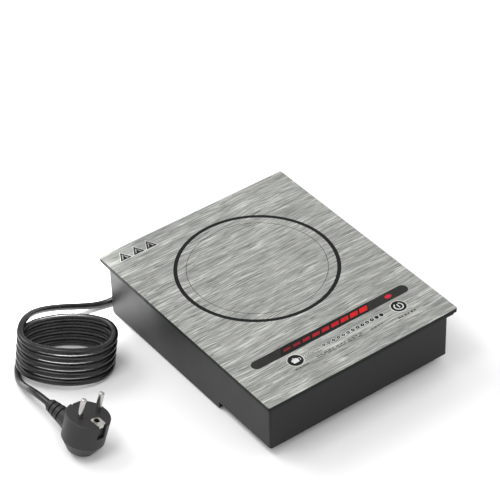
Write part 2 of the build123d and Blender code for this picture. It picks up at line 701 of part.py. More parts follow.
ROTOR_Z = FAN_Z + STRUT_T + 0.8
ROTOR_H = 16.0
BLADE_CHORD, BLADE_T, BLADE_ANGLE = 15.0, 1.3, 42.0
with BuildPart() as fan_rotor:
    with BuildSketch(Plane.XY.offset(ROTOR_Z)):
        with Locations(FAN_MID):
            Circle(HUB_R)
            Circle(HUB_R - 1.5, mode=Mode.SUBTRACT)
    extrude(amount=ROTOR_H)
    with BuildSketch(Plane.XY.offset(ROTOR_Z + ROTOR_H - 1.5)):
        with Locations(FAN_MID):
            Circle(HUB_R)
    extrude(amount=1.5)
    with BuildSketch(Plane.XY.offset(FAN_Z + 1.2)):
        with Locations(FAN_MID):
            Circle(SHAFT_R)
    extrude(amount=ROTOR_Z + ROTOR_H - 1.5 - FAN_Z - 1.2)
    for blade in range(BLADES):
        turn = math.radians(360 / BLADES * blade)
        outward = Vector(math.cos(turn), math.sin(turn), 0)
        root = Vector(*FAN_MID, ROTOR_Z + ROTOR_H / 2) + outward * (HUB_R - 0.6)
        tilt = math.radians(BLADE_ANGLE)
        along = Vector(-math.sin(turn) * math.cos(tilt), math.cos(turn) * math.cos(tilt), math.sin(tilt))
        with BuildSketch(Plane(origin=root, x_dir=along, z_dir=outward)):
            Rectangle(BLADE_CHORD, BLADE_T)
        extrude(amount=BLADE_TIP_R - HUB_R)
save(fan_rotor, "fan_rotor")
screws(fan_corners, FAN_Z + FAN_H, FAN_H + 1.6, "fan_screws")

# ---- touch controls --------------------------------------------------------------------------

with BuildPart() as control_board:
    with BuildSketch(Plane.XY.offset(CONTROL_TOP - CONTROL_T)):
        with Locations(CONTROL_MID):
            RectangleRounded(CONTROL_X, CONTROL_Y, 1)
        with Locations(*CONTROL_SCREW_SPOTS):
            Circle(SCREW_R + 0.2, mode=Mode.SUBTRACT)
    extrude(amount=CONTROL_T)
save(control_board, "control_board")
screws(CONTROL_SCREW_SPOTS, CONTROL_TOP - CONTROL_T, 4.4, "control_screws", head_up=False)

KEY_XS = [-46.5, 60.7] + [-33.0 + 11.0 * i for i in range(7)]
with BuildPart() as touch_springs:
    with BuildSketch(Plane.XY.offset(CONTROL_TOP)):
        with Locations(*[(x, KEY_Y) for x in KEY_XS]):
            Circle(4.2)
            Circle(3.6, mode=Mode.SUBTRACT)
    extrude(amount=GLASS_Z - CONTROL_TOP)
save(touch_springs, "touch_springs")

LENS_X, LENS_Y = 92.0, 10.0
led_spots = [(-43.0 + 10.1 * i, SLIDER_Y) for i in range(9)]
with BuildPart() as display_lens:
    with BuildSketch(Plane.XY.offset(CONTROL_TOP)):
        with Locations((-2.4, SLIDER_Y)):
            Rectangle(LENS_X, LENS_Y)
        with Locations((61.7, SLIDER_Y)):
            Rectangle(10, LENS_Y)
    extrude(amount=GLASS_Z - CONTROL_TOP)
    with BuildSketch(Plane.XY.offset(CONTROL_TOP)):
        with Locations(*led_spots, (61.7, SLIDER_Y)):
            Rectangle(4.0, 3.0)
    extrude(amount=2.0, mode=Mode.SUBTRACT)
save(display_lens, "display_lens")

with BuildPart() as indicator_leds:
    with BuildSketch(Plane.XY.offset(CONTROL_TOP)):
        with Locations(*led_spots, (61.7, SLIDER_Y)):
            Rectangle(3.2, 1.6)
    extrude(amount=1.2)
save(indicator_leds, "indicator_leds")

RIBBON_X, RIBBON_W, RIBBON_T = -60.0, 12.0, 1.0
with BuildPart() as ribbon_sockets:
    with BuildSketch(Plane.XY.offset(BOARD_TOP)):
        with Locations((RIBBON_X, -30)):
            Rectangle(15, 6)
    extrude(amount=6)
    with BuildSketch(Plane.XY.offset(CONTROL_TOP - CONTROL_T)):
        with Locations((RIBBON_X, -72)):
            Rectangle(15, 6)
    extrude(amount=-6)
save(ribbon_sockets, "ribbon_sockets")

with BuildPart() as ribbon_cable:
    with BuildSketch(Plane.YZ.offset(RIBBON_X - RIBBON_W / 2)):
        with BuildLine() as ribbon_path:
            FilletPolyline(
                (-30, BOARD_TOP + 6),
                (-30, BOARD_TOP + 15),
                (-48, BOARD_TOP + 22),
                (-72, BOARD_TOP + 22),
                (-72, CONTROL_TOP - CONTROL_T - 6),
                radius=4,
            )
        trace(line_width=RIBBON_T)
    extrude(amount=RIBBON_W)
    split(bisect_by=Plane.XY.offset(BOARD_TOP + 6), keep=Keep.TOP)
    split(bisect_by=Plane.XY.offset(CONTROL_TOP - CONTROL_T - 6), keep=Keep.BOTTOM)
save(ribbon_cable, "ribbon_cable")

# ---- mains entry -----------------------------------------------------------------------------

WALL_Y = SHELL_Y / 2
SLEEVE_L = GLAND_X - SLEEVE_END_X
with BuildPart() as cord_gland:
    # collar inside the wall, neck through it and flange outside it
    with BuildSketch(Plane.XZ.offset(-(WALL_Y - SHELL_T - 3))):
        with Locations((GLAND_X, GLAND_Z)):
            Circle(6.6)
    extrude(amount=-3)
    with BuildSketch(Plane.XZ.offset(-(WALL_Y - SHELL_T))):
        with Locations((GLAND_X, GLAND_Z)):
            Circle(5.5)
    extrude(amount=-SHELL_T)
    with BuildSketch(Plane.XZ.offset(-WALL_Y)):
        with Locations((GLAND_X, GLAND_Z)):
            RectangleRounded(20, 16, 4)
    extrude(amount=-2.5)
    # elbow: a block that turns the lead along the wall
    with BuildSketch(Plane.XZ.offset(-(WALL_Y + 2.5))):
        with Locations((GLAND_X, GLAND_Z)):
            Circle(6.6)
    extrude(amount=-(GLAND_RUN_Y - WALL_Y - 2.5))
    with BuildSketch(Plane(origin=(GLAND_X, GLAND_RUN_Y, GLAND_Z), x_dir=(1, 0, 0), z_dir=(0, 1, 0))):
        with BuildLine():
            Line((0, -6.6), (0, 6.6))
            CenterArc((0, 0), 6.6, -90, 180)
        make_face()
    revolve(axis=Axis((GLAND_X, GLAND_RUN_Y, GLAND_Z), (0, 0, 1)), revolution_arc=360)
    # tapered sleeve with grooves, lying along the wall
    with BuildSketch(Plane(origin=(GLAND_X, GLAND_RUN_Y, GLAND_Z), x_dir=(-1, 0, 0), z_dir=(0, -1, 0))):
        with BuildLine():
            Polyline((0, 0), (0, 6.6), (SLEEVE_L, CORD_R + 1.1), (SLEEVE_L, 0), close=True)
        make_face()
        for groove in range(4):
            with Locations((9.0 + 4.6 * groove, 6.6)):
                Rectangle(1.8, 3.6 + 0.5 * groove, mode=Mode.SUBTRACT)
    revolve(axis=Axis((GLAND_X, GLAND_RUN_Y, GLAND_Z), (-1, 0, 0)))
save(cord_gland, "cord_gland")

SHEATH_END_Y = 93.0
COLLAR_Y = WALL_Y - SHELL_T - 3
with BuildPart() as cord_inner:
    with BuildSketch(Plane.XZ.offset(-COLLAR_Y)):
        with Locations((GLAND_X, GLAND_Z)):
            Circle(CORD_R)
    extrude(amount=COLLAR_Y - SHEATH_END_Y)
save(cord_inner, "cord_inner")

with BuildPart() as cord_clamp:
    with BuildSketch(Plane.XZ.offset(-100)):
        with Locations((GLAND_X, GLAND_Z + 2.5)):
            Rectangle(27, 5)
        with Locations((GLAND_X, GLAND_Z)):
            Circle(CORD_R, mode=Mode.SUBTRACT)
    extrude(amount=6)
    with BuildSketch(Plane.XY.offset(GLAND_Z)):
        with Locations((GLAND_X - 10, 97), (GLAND_X + 10, 97)):
            Circle(SCREW_R + 0.1)
    extrude(amount=5, mode=Mode.SUBTRACT)
save(cord_clamp, "cord_clamp")
screws([(GLAND_X - 10, 97), (GLAND_X + 10, 97)], GLAND_Z + 5, 11, "clamp_screws")

WIRE_R = 1.1
with BuildPart() as mains_wires:
    for side in (-1, 1):
        start_x = GLAND_X + side * 1.5
        end_x = GLAND_X + side * TERMINAL_PITCH / 2
        route = [
            (start_x, SHEATH_END_Y, GLAND_Z - 0.8),
            (start_x, SHEATH_END_Y - 2.6, GLAND_Z - 0.8),
            (end_x, SHEATH_END_Y - 3.4, BOARD_TOP + 6),
            (end_x, TERMINAL_MID[1] + 5, BOARD_TOP + 6),
        ]
        with BuildLine() as wire_path:
            FilletPolyline(*route, radius=[1.5, 1.8])
        with BuildSketch(Plane(origin=wire_path.line @ 0, z_dir=wire_path.line % 0)):
            Circle(WIRE_R)
        sweep()
save(mains_wires, "mains_wires")

LUG_X, LUG_Z = -58.0, 24.0
with BuildPart() as earth_wire:
    with BuildLine() as earth_path:
        FilletPolyline(
            (GLAND_X, SHEATH_END_Y, GLAND_Z + 1.8),
            (GLAND_X, SHEATH_END_Y - 2.0, GLAND_Z + 1.8),
            (GLAND_X, SHEATH_END_Y - 2.0, LUG_Z),
            (LUG_X + 10, SHEATH_END_Y + 6, LUG_Z),
            (LUG_X, WALL_Y - SHELL_T - 7, LUG_Z),
            (LUG_X, WALL_Y - SHELL_T - 4, LUG_Z),
            radius=[1.4, 5.0, 6.0, 2.0],
        )
    with BuildSketch(Plane(origin=earth_path.line @ 0, z_dir=earth_path.line % 0)):
        Circle(WIRE_R)
    sweep()
save(earth_wire, "earth_wire")

with BuildPart() as earth_lug:
    with BuildSketch(Plane.XZ.offset(-(WALL_Y - SHELL_T))):
        with Locations((LUG_X, LUG_Z)):
            Circle(5)
    extrude(amount=1)
    with BuildSketch(Plane.XZ.offset(-(WALL_Y - SHELL_T - 1))):
        with Locations((LUG_X, LUG_Z)):
            RegularPolygon(3.6, 6)
    extrude(amount=3)
save(earth_lug, "earth_lug")

# ---- mains lead ------------------------------------------------------------------------------

cord_tube(LEAD_ROUTE, CORD_R, "power_cord_lead")
cord_tube(TAIL_ROUTE, CORD_R, "power_cord_tail")



def coil_level(height, half_width, end_r, shift, grow):
    """The coil's oval outline at one height, moved outward by grow."""
    level = Plane(origin=(*COIL_MID, height), x_dir=(*COIL_DIRECTION, 0), z_dir=(0, 0, 1))
    end_mid = COIL_HALF_LENGTH - end_r
    side_r = (end_mid**2 + half_width**2 - end_r**2) / (2 * (half_width - end_r))
    side_mid = side_r - half_width
    half_spread = math.degrees(math.atan2(end_mid, side_mid))
    end_turn, side_turn = 180 - 2 * half_spread, 2 * half_spread
    with BuildSketch(level) as outline:
        with BuildLine():
            CenterArc((shift + end_mid, 0), end_r + grow, half_spread - 90, end_turn)
            CenterArc((shift, -side_mid), side_r + grow, 90 - half_spread, side_turn)
            CenterArc((shift - end_mid, 0), end_r + grow, 90 + half_spread, end_turn)
            CenterArc((shift, side_mid), side_r + grow, 270 - half_spread, side_turn)
        make_face()
    return outline.sketch.face()


with BuildPart() as power_cord_coil:
    for wall, mode in ((CORD_R + COIL_SLACK, Mode.ADD), (-CORD_R - COIL_SLACK, Mode.SUBTRACT)):
        foot = coil_level(0, COIL_FOOT_HALF_WIDTH, COIL_FOOT_END_R, COIL_FOOT_SHIFT, wall)
        top = coil_level(COIL_H, COIL_TOP_HALF_WIDTH, COIL_TOP_END_R, COIL_TOP_SHIFT, wall)
        loft(sections=[foot, top], mode=mode)
    fillet(power_cord_coil.edges().group_by(Axis.Z)[-1], 2.0)
save(power_cord_coil, "power_cord_coil")

# ---- plug ------------------------------------------------------------------------------------

plug_axis_plane = PLUG_PLANE.offset(-PLUG_AXIS_DEPTH)
GROOVE_W, GROOVE_DEPTH = 7.4, 2.8
WALL_DEPTH = 23.0
BOSS_START = 8.0
with BuildPart() as plug_body:
    with BuildSketch(PLUG_PLANE):
        Circle(PLUG_R - 0.8)
    with BuildSketch(PLUG_PLANE.offset(-0.8)):
        Circle(PLUG_R)
    with BuildSketch(PLUG_PLANE.offset(-WALL_DEPTH)):
        Circle(PLUG_R - 0.5)
    with BuildSketch(PLUG_PLANE.offset(-PLUG_DEPTH)):
        Circle(11.5)
    loft(ruled=True)
    # boss for the lead
    boss_plane = Plane(
        origin=plug_axis_plane.origin + plug_axis_plane.y_dir * BOSS_START,
        x_dir=plug_axis_plane.x_dir,
        z_dir=plug_axis_plane.y_dir,
    )
    with BuildSketch(boss_plane):
        Circle(10.5)
    with BuildSketch(boss_plane.offset(RELIEF_START - BOSS_START)):
        Circle(7.6)
    loft()
    # earth contact grooves in both sides
    with BuildSketch(PLUG_PLANE):
        with Locations((0, PLUG_R), (0, -PLUG_R)):
            Rectangle(GROOVE_W, 2 * GROOVE_DEPTH)
    extrude(amount=-12, mode=Mode.SUBTRACT)
    # socket for the other standard's earth pin
    with BuildSketch(PLUG_PLANE):
        with Locations((0, -10)):
            Circle(2.6)
    extrude(amount=-19, mode=Mode.SUBTRACT)
save(plug_body, "plug_body")

with BuildPart() as plug_pins:
    with BuildSketch(PLUG_PLANE):
        with GridLocations(PIN_PITCH, 1, 2, 1):
            Circle(PIN_R)
    extrude(amount=PIN_L)
    fillet(plug_pins.edges().filter_by(GeomType.CIRCLE).sort_by_distance(PLUG_PLANE.origin)[-2:], 1.6)
save(plug_pins, "plug_pins")

CONTACT_T = 0.8
with BuildPart() as plug_earth_contacts:
    # plate with the pin hole, and a tongue down the groove behind it
    with BuildSketch(PLUG_PLANE):
        with Locations((0, -11.4)):
            RectangleRounded(9, 10.2, 2)
        with Locations((0, -10)):
            Circle(2.4, mode=Mode.SUBTRACT)
    extrude(amount=CONTACT_T)
    with BuildSketch(PLUG_PLANE.offset(CONTACT_T)):
        with Locations((0, -(PLUG_R - GROOVE_DEPTH + CONTACT_T / 2))):
            Rectangle(5.5, CONTACT_T)
    extrude(amount=-3)
    # the clip on the lead's side
    with BuildSketch(PLUG_PLANE.offset(CONTACT_T)):
        with Locations((0, PLUG_R - GROOVE_DEPTH + CONTACT_T / 2)):
            Rectangle(5.5, CONTACT_T)
    extrude(amount=-10)
save(plug_earth_contacts, "plug_earth_contacts")

RELIEF_LENGTH = RELIEF_END - RELIEF_START
# start and end along the relief, and radius, of each raised ring
RELIEF_RINGS = [(3.6, 7.6, 7.1), (9.2, 12.8, 6.4), (14.4, 17.6, 5.7)]
with BuildPart() as plug_relief:
    relief_origin = plug_axis_plane.origin + plug_axis_plane.y_dir * RELIEF_START
    with BuildSketch(Plane(origin=relief_origin, x_dir=plug_axis_plane.y_dir, z_dir=plug_axis_plane.x_dir)):
        with BuildLine():
            end, tip_r = RELIEF_LENGTH, CORD_R + 0.9
            Polyline((0, 0), (0, 7.6), (2, 7.4), (2, 4.6), (end, tip_r), (end, 0), close=True)
        make_face()
        for ring_start, ring_end, ring_r in RELIEF_RINGS:
            with BuildLine():
                Polyline(
                    (ring_start, 0), (ring_start, ring_r), (ring_end, ring_r - 0.3), (ring_end, 0), close=True
                )
            make_face()
    revolve(axis=Axis(relief_origin, plug_axis_plane.y_dir))
save(plug_relief, "plug_relief")
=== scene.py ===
"""Looks for the glass-top hob: finishes, the print on the glass, the coiled mains lead and the studio."""

import json
import math

import bmesh
import bpy
from mathutils import Matrix, Vector


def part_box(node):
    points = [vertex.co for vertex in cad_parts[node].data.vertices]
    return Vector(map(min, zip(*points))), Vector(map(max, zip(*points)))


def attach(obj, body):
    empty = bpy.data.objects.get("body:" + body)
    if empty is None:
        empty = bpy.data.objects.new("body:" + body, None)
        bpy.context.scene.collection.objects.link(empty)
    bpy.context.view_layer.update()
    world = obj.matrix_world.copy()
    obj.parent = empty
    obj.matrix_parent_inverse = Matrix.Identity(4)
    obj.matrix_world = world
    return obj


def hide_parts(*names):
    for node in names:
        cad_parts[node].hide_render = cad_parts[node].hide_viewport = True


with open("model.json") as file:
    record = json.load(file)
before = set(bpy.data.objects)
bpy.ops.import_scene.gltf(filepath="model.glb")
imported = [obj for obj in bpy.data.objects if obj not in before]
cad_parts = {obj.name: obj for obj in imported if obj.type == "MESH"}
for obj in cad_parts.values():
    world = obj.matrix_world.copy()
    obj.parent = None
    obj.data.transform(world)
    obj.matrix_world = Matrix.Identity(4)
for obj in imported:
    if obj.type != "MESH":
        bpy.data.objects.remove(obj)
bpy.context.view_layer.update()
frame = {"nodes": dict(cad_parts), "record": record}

MM = 0.001
NODES = frame["nodes"]
GLASS_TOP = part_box("glass_top")[1].z


# ---- camera ----------------------------------------------------------------------------------

CAMERA_AZIMUTH, CAMERA_ELEVATION, CAMERA_ROLL = (math.radians(a) for a in (-35.527, 39.083, -1.996))
CAMERA_SPOT = (-0.83166, -1.13012, 1.23520)
CAMERA_LENS, CAMERA_SENSOR = 157.23, 36.0


def make_camera():
    """The camera, turned by azimuth from +Y, raised by elevation and rolled about its own axis."""
    backward = Vector((
        math.sin(CAMERA_AZIMUTH) * math.cos(CAMERA_ELEVATION),
        -math.cos(CAMERA_AZIMUTH) * math.cos(CAMERA_ELEVATION),
        math.sin(CAMERA_ELEVATION),
    ))
    level_right = Vector((0, 0, 1)).cross(backward).normalized()
    level_up = backward.cross(level_right)
    right = level_right * math.cos(CAMERA_ROLL) + level_up * math.sin(CAMERA_ROLL)
    up = level_up * math.cos(CAMERA_ROLL) - level_right * math.sin(CAMERA_ROLL)
    camera = bpy.data.objects.new("camera", bpy.data.cameras.new("camera"))
    camera.data.lens = CAMERA_LENS
    camera.data.sensor_width = CAMERA_SENSOR
    camera.data.clip_start = 0.01
    turned = Matrix((right, up, backward)).transposed().to_4x4()
    camera.matrix_world = Matrix.Translation(CAMERA_SPOT) @ turned
    bpy.context.scene.collection.objects.link(camera)
    bpy.context.scene.camera = camera


make_camera()


# ---- mains lead ------------------------------------------------------------------------------

CORD_R = 3.0

# the lead from the gland's sleeve, down to the table and up over the coil
LEAD_ROUTE = [
    (-58.0, 121.8, 11.0),
    (-71.0, 121.8, 8.2),
    (-84.0, 122.2, 4.6),
    (-97.0, 125.2, 3.4),
    (-110.5, 128.6, 6.4),
    (-125.4, 130.2, 12.8),
    (-141.0, 129.0, 20.8),
    (-156.4, 125.2, 29.2),
    (-170.2, 118.8, 36.6),
    (-181.6, 110.6, 41.2),
]
# the tail from the foot of the coil to the plug's strain relief
TAIL_ROUTE = [
    (-198.6, 99.6, CORD_R),
    (-203.6, 90.4, CORD_R),
    (-206.9, 80.0, 5.6),
    (-209.2, 68.0, 11.4),
    (-211.0, 55.5, 18.0),
    (-211.4, 42.8, 22.2),
    (-209.97, 29.57, 21.7),
]

# each turn of the coil is an oval of four arcs, two tight ends and two flatter sides
COIL_MID = Vector((-161.0, 78.8))
COIL_ALONG = Vector((0.814, -0.581))
COIL_ACROSS = Vector((0.581, 0.814))
COIL_HALF_LENGTH, COIL_HALF_WIDTH, COIL_END_R = 40.2, 24.2, 20.5
COIL_TURNS, COIL_PITCH = 5, 7.7
COIL_POINTS_PER_TURN = 22
COIL_TOP_SHIFT = 2.6
COIL_FOOT_SPREAD = 0.18
COIL_START_ANGLE, COIL_END_ANGLE = math.radians(176), math.radians(172)
COIL_FLAT_SHARE = 0.43

END_MID = COIL_HALF_LENGTH - COIL_END_R
SIDE_R = (END_MID**2 + COIL_HALF_WIDTH**2 - COIL_END_R**2) / (2 * (COIL_HALF_WIDTH - COIL_END_R))
SIDE_MID = SIDE_R - COIL_HALF_WIDTH
HALF_SPREAD = math.atan2(END_MID, SIDE_MID)
END_ARC = (math.pi - 2 * HALF_SPREAD) * COIL_END_R
SIDE_ARC = 2 * HALF_SPREAD * SIDE_R
TURN_LENGTH = 2 * (END_ARC + SIDE_ARC)


def oval_point(travel):
    """The point of the coil's oval that is travel along it from the rear end of its left end arc."""
    travel %= TURN_LENGTH
    if travel < END_ARC:
        angle, middle, radius = math.pi / 2 + HALF_SPREAD + travel / COIL_END_R, (-END_MID, 0), COIL_END_R
    elif travel < END_ARC + SIDE_ARC:
        angle = 1.5 * math.pi - HALF_SPREAD + (travel - END_ARC) / SIDE_R
        middle, radius = (0, SIDE_MID), SIDE_R
    elif travel < 2 * END_ARC + SIDE_ARC:
        angle = HALF_SPREAD - math.pi / 2 + (travel - END_ARC - SIDE_ARC) / COIL_END_R
        middle, radius = (END_MID, 0), COIL_END_R
    else:
        angle = math.pi / 2 - HALF_SPREAD + (travel - 2 * END_ARC - SIDE_ARC) / SIDE_R
        middle, radius = (0, -SIDE_MID), SIDE_R
    return middle[0] + radius * math.cos(angle), middle[1] + radius * math.sin(angle)


def coil_points():
    """The coil's points, top to foot: a turn lies flat along the back and drops along the front."""
    first = (COIL_START_ANGLE - math.pi / 2 - HALF_SPREAD) * COIL_END_R
    last = COIL_TURNS * TURN_LENGTH + (COIL_END_ANGLE - math.pi / 2 - HALF_SPREAD) * COIL_END_R
    count = round((last - first) / TURN_LENGTH * COIL_POINTS_PER_TURN)
    points = []
    for step in range(count + 1):
        travel = first + (last - first) * step / count
        turns_left = (last - travel) / TURN_LENGTH
        whole = min(int(turns_left), COIL_TURNS - 1)
        climb = max(0.0, (turns_left - whole - COIL_FLAT_SHARE) / (1 - COIL_FLAT_SHARE))
        level = whole + climb * climb * (3 - 2 * climb)
        height_share = level / COIL_TURNS
        along, across = oval_point(travel)
        along += COIL_TOP_SHIFT * (2 * height_share - 1)
        across *= 1 + COIL_FOOT_SPREAD * (1 - height_share)
        spot = COIL_MID + COIL_ALONG * along + COIL_ACROSS * across
        points.append((spot.x, spot.y, CORD_R + COIL_PITCH * level))
    return points


def make_cord():
    """The mains lead as one smooth NURBS line with a round section."""
    points = LEAD_ROUTE + coil_points() + TAIL_ROUTE
    curve = bpy.data.curves.new("mains_lead", "CURVE")
    curve.dimensions = "3D"
    curve.resolution_u = 6
    curve.bevel_depth = 1.0
    curve.bevel_resolution = 6
    line = curve.splines.new("NURBS")
    line.points.add(len(points) - 1)
    for control, point in zip(line.points, points):
        control.co = (*(c * MM for c in point), 1)
        control.radius = CORD_R * MM
    line.order_u = 3
    line.use_endpoint_u = True
    cord = bpy.data.objects.new("mains_lead", curve)
    bpy.context.scene.collection.objects.link(cord)
    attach(cord, "chassis")
    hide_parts("power_cord_lead", "power_cord_coil", "power_cord_tail")
    return cord


cord = make_cord()


# ---- finishes --------------------------------------------------------------------------------


class Finish:
    """A node material in the making: its shader, and short calls for the texture nodes that feed it."""

    def __init__(self, name, **sockets):
        self.material = bpy.data.materials.new(name)
        self.material.use_nodes = True
        self.tree = self.material.node_tree
        self.shader = self.tree.nodes["Principled BSDF"]
        for socket, value in sockets.items():
            self.shader.inputs[socket.replace("_", " ")].default_value = value
        self.place = self.tree.nodes.new("ShaderNodeTexCoord").outputs["Object"]

    def join(self, source, target):
        """Links a socket, or sets a constant."""
        if isinstance(source, bpy.types.NodeSocket):
            self.tree.links.new(source, target)
        else:
            target.default_value = source

    def spread(self, scale):
        """Object coordinates in metres, multiplied by scale along each axis."""
        mapping = self.tree.nodes.new("ShaderNodeMapping")
        self.join(self.place, mapping.inputs["Vector"])
        mapping.inputs["Scale"].default_value = scale
        return mapping.outputs["Vector"]

    def noise(self, scale, detail=3.0, roughness=0.5, distortion=0.0, place=None):
        noise = self.tree.nodes.new("ShaderNodeTexNoise")
        self.join(place or self.place, noise.inputs["Vector"])
        noise.inputs["Scale"].default_value = scale
        noise.inputs["Detail"].default_value = detail
        noise.inputs["Roughness"].default_value = roughness
        noise.inputs["Distortion"].default_value = distortion
        return noise.outputs["Fac"]

    def ramp(self, factor, *stops):
        """A colour for each (position, colour) stop."""
        ramp = self.tree.nodes.new("ShaderNodeValToRGB")
        elements = ramp.color_ramp.elements
        while len(elements) < len(stops):
            elements.new(0.5)
        for element, (position, colour) in zip(elements, stops):
            element.position = position
            element.color = (*colour, 1)
        self.join(factor, ramp.inputs["Fac"])
        return ramp.outputs["Color"]

    def mix(self, factor, low, high, blend="MIX"):
        mix = self.tree.nodes.new("ShaderNodeMix")
        mix.data_type = "RGBA"
        mix.blend_type = blend
        self.join(factor, mix.inputs["Factor"])
        self.join(low, mix.inputs[6])
        self.join(high, mix.inputs[7])
        return mix.outputs[2]

    def math(self, operation, *values):
        node = self.tree.nodes.new("ShaderNodeMath")
        node.operation = operation
        for value, target in zip(values, node.inputs):
            self.join(value, target)
        return node.outputs[0]

    def span(self, value, low, high, out_low, out_high):
        """value, carried from low..high to out_low..out_high."""
        node = self.tree.nodes.new("ShaderNodeMapRange")
        for source, target in zip((value, low, high, out_low, out_high), node.inputs):
            self.join(source, target)
        return node.outputs["Result"]

    def up_share(self):
        """1 on faces that look up, 0 on upright and lower faces."""
        geometry = self.tree.nodes.new("ShaderNodeNewGeometry")
        parts = self.tree.nodes.new("ShaderNodeSeparateXYZ")
        self.join(geometry.outputs["Normal"], parts.inputs[0])
        return self.math("GREATER_THAN", parts.outputs["Z"], 0.5)

    def bump(self, height, distance, strength=1.0):
        bump = self.tree.nodes.new("ShaderNodeBump")
        self.join(height, bump.inputs["Height"])
        bump.inputs["Distance"].default_value = distance
        bump.inputs["Strength"].default_value = strength
        self.join(bump.outputs["Normal"], self.shader.inputs["Normal"])

    def use(self, **sockets):
        """Links texture results to the shader's sockets."""
        for socket, source in sockets.items():
            self.join(source, self.shader.inputs[socket.replace("_", " ")])
        return self.material


def shade(colour, share):
    """colour, made lighter or darker by share."""
    return tuple(min(1.0, c * share) for c in colour)


def moulded(name, colour, roughness=0.5, grain=1400.0, relief=0.00004, **sockets):
    """Moulded plastic or rubber: a fine grain, and faint cloudiness in colour and sheen."""
    finish = Finish(name, **sockets)
    cloud = finish.noise(60.0, detail=4)
    finish.bump(finish.noise(grain, detail=2), relief)
    return finish.use(
        Base_Color=finish.ramp(cloud, (0.3, shade(colour, 0.82)), (0.7, shade(colour, 1.18))),
        Roughness=finish.span(cloud, 0.3, 0.7, roughness - 0.05, roughness + 0.07),
    )


def metal(name, colour, roughness=0.3, brush=(300, 4000, 300), relief=0.000006):
    """Bare or plated metal with a fine directional brushing and slight tarnish."""
    finish = Finish(name, Metallic=1.0)
    strokes = finish.noise(1.0, detail=3, place=finish.spread(brush))
    tarnish = finish.noise(90.0, detail=5)
    finish.bump(strokes, relief)
    return finish.use(
        Base_Color=finish.ramp(tarnish, (0.35, shade(colour, 0.8)), (0.65, colour)),
        Roughness=finish.span(strokes, 0.3, 0.7, roughness - 0.06, roughness + 0.1),
    )


def glass_print():
    """Glossy glass over a printed, brushed grey grain that runs left to right; the ground edges are dark."""
    finish = Finish("glass_print", Coat_Roughness=0.04, IOR=1.5)
    parts = finish.tree.nodes.new("ShaderNodeSeparateXYZ")
    finish.join(finish.place, parts.inputs[0])
    sway = finish.noise(1.0, detail=2, place=finish.spread((16, 30, 1)))
    swayed_y = finish.math("ADD", parts.outputs["Y"], finish.math("MULTIPLY", sway, 0.0055))

    def strokes(along, across, detail, roughness):
        """Streaks with this many noise cells per metre along and across them."""
        spot = finish.tree.nodes.new("ShaderNodeCombineXYZ")
        finish.join(finish.math("MULTIPLY", parts.outputs["X"], along), spot.inputs["X"])
        finish.join(finish.math("MULTIPLY", swayed_y, across), spot.inputs["Y"])
        return finish.noise(1.0, detail=detail, roughness=roughness, place=spot.outputs[0])

    fine = strokes(38.0, 900.0, 3, 0.65)
    broad = strokes(9.0, 150.0, 2, 0.5)
    cuts = finish.span(strokes(55.0, 820.0, 2, 0.6), 0.57, 0.68, 0.0, 0.85)
    grain = finish.math("ADD", finish.math("MULTIPLY", fine, 0.74), finish.math("MULTIPLY", broad, 0.26))
    grey = finish.ramp(
        grain,
        (0.34, (0.120, 0.125, 0.112)),
        (0.46, (0.218, 0.223, 0.206)),
        (0.54, (0.300, 0.306, 0.285)),
        (0.64, (0.560, 0.566, 0.530)),
    )
    cut = finish.mix(cuts, grey, (0.060, 0.063, 0.055, 1))
    top = finish.up_share()
    finish.bump(finish.noise(30.0, detail=2), 0.00002)
    return finish.use(
        Base_Color=finish.mix(top, (0.006, 0.009, 0.007, 1), cut),
        Roughness=finish.span(grain, 0.3, 0.7, 0.55, 0.40),
        Coat_Weight=finish.math("MULTIPLY", top, 0.55),
        Specular_IOR_Level=finish.span(top, 0.0, 1.0, 0.12, 0.30),
    )


def painted_sheet(name, colour, roughness):
    """Satin powder-coated sheet metal: orange peel, and a slightly rubbed look in patches."""
    finish = Finish(name, Specular_IOR_Level=0.24)
    peel = finish.noise(1100.0, detail=2)
    rubbed = finish.noise(26.0, detail=6, roughness=0.6)
    finish.bump(peel, 0.00003)
    return finish.use(
        Base_Color=finish.ramp(rubbed, (0.3, shade(colour, 0.85)), (0.7, shade(colour, 1.15))),
        Roughness=finish.span(rubbed, 0.3, 0.7, roughness - 0.04, roughness + 0.06),
    )


def cord_sheath():
    """Extruded satin black PVC: a fine texture, and slightly dusty patches."""
    finish = Finish("cord_pvc", Specular_IOR_Level=0.45)
    skin = finish.noise(700.0, detail=3)
    dust = finish.noise(120.0, detail=5)
    finish.bump(skin, 0.00003)
    return finish.use(
        Base_Color=finish.ramp(dust, (0.35, (0.004, 0.004, 0.004)), (0.75, (0.009, 0.009, 0.009))),
        Roughness=finish.span(dust, 0.3, 0.7, 0.20, 0.30),
    )


def wound_copper(name, colour):
    """Enamelled wire: the strands show as a close, fine grain."""
    finish = Finish(name, Metallic=0.85, Coat_Weight=0.6, Coat_Roughness=0.15)
    strand = finish.noise(1.0, detail=2, place=finish.spread((1800, 1800, 1800)))
    heat = finish.noise(45.0, detail=3)
    finish.bump(strand, 0.00012)
    return finish.use(
        Base_Color=finish.ramp(heat, (0.3, shade(colour, 0.7)), (0.7, colour)),
        Roughness=finish.span(strand, 0.3, 0.7, 0.25, 0.45),
    )


